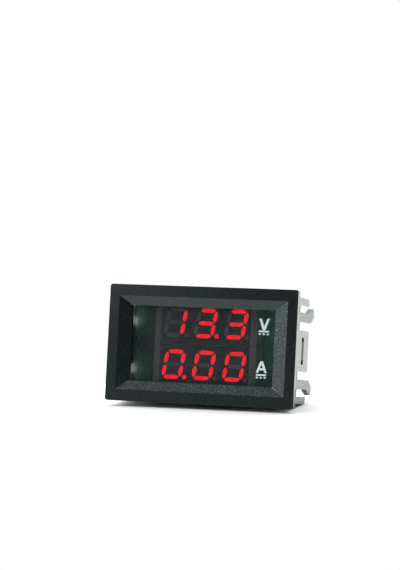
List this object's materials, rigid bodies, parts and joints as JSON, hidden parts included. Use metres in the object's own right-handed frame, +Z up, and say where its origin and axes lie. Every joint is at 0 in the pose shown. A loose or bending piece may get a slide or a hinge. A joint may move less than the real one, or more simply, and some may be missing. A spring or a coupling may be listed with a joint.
{
  "type": "digital panel meter",
  "caption": "Dual-row digital panel meter: black snap-in case with sloped bezel, smoked window, red seven-segment voltage and current displays, circuit board with headers at the open back.",
  "frame": {"origin": "middle of the panel cut-out, on the rear face of the bezel that seats on the panel", "axes": "+X to the right across the bezel as seen from the front, +Y into the panel (the display faces -Y), +Z up"},
  "size_m": [0.048, 0.0211, 0.0288],
  "materials": {
    "housing_plastic": "fine matt moulded grain",
    "smoked_lens": "clear smoked plastic, polished",
    "display_white": "satin moulded",
    "display_film": "satin dark film",
    "segment_lit": "lit red diffuser",
    "segment_unlit": "unlit milky diffuser",
    "tinned_pin": "bright tinned",
    "board_green": "solder mask over copper",
    "solder": "smooth bright solder",
    "shunt_wire": "drawn resistance alloy",
    "header_plastic": "moulded nylon",
    "trimmer_blue": "moulded",
    "trimmer_white": "moulded",
    "chip_black": "moulded epoxy",
    "resistor_black": "glazed",
    "capacitor_tan": "fired ceramic"
  },
  "bodies": {
    "meter": {"housing": "housing_plastic", "window_lens": "smoked_lens", "upper_display_body": "display_white", "lower_display_body": "display_white", "upper_display_film": "display_film", "lower_display_film": "display_film", "upper_lit_segments": "segment_lit", "upper_unlit_segments": "segment_unlit", "lower_lit_segments": "segment_lit", "lower_unlit_segments": "segment_unlit", "upper_display_pins": "tinned_pin", "lower_display_pins": "tinned_pin", "main_board": "board_green", "display_solder": "solder", "current_shunt": "shunt_wire", "connector_solder": "solder", "current_header": "header_plastic", "current_header_pins": "tinned_pin", "power_header": "header_plastic", "power_header_pins": "tinned_pin", "voltage_trimmer_base": "trimmer_blue", "current_trimmer_base": "trimmer_blue", "trimmer_terminals": "tinned_pin", "microcontroller": "chip_black", "microcontroller_leads": "tinned_pin", "amplifier": "chip_black", "amplifier_leads": "tinned_pin", "voltage_regulator": "chip_black", "regulator_leads": "tinned_pin", "protection_diode": "chip_black", "diode_terminals": "tinned_pin", "chip_resistors": "resistor_black", "chip_capacitors": "capacitor_tan", "chip_terminals": "tinned_pin"},
    "voltage_trimmer": {"voltage_trimmer_rotor": "trimmer_white"},
    "current_trimmer": {"current_trimmer_rotor": "trimmer_white"}
  },
  "joints": [
    {"name": "voltage_trim", "type": "hinge", "parent": "meter", "child": "voltage_trimmer", "pos_m": [0.0132, 0.0125, 0.0046], "axis": [0, 1, 0], "range_deg": [-130, 130]},
    {"name": "current_trim", "type": "hinge", "parent": "meter", "child": "current_trimmer", "pos_m": [0.0132, 0.0125, -0.0014], "axis": [0, 1, 0], "range_deg": [-130, 130]}
  ]
}
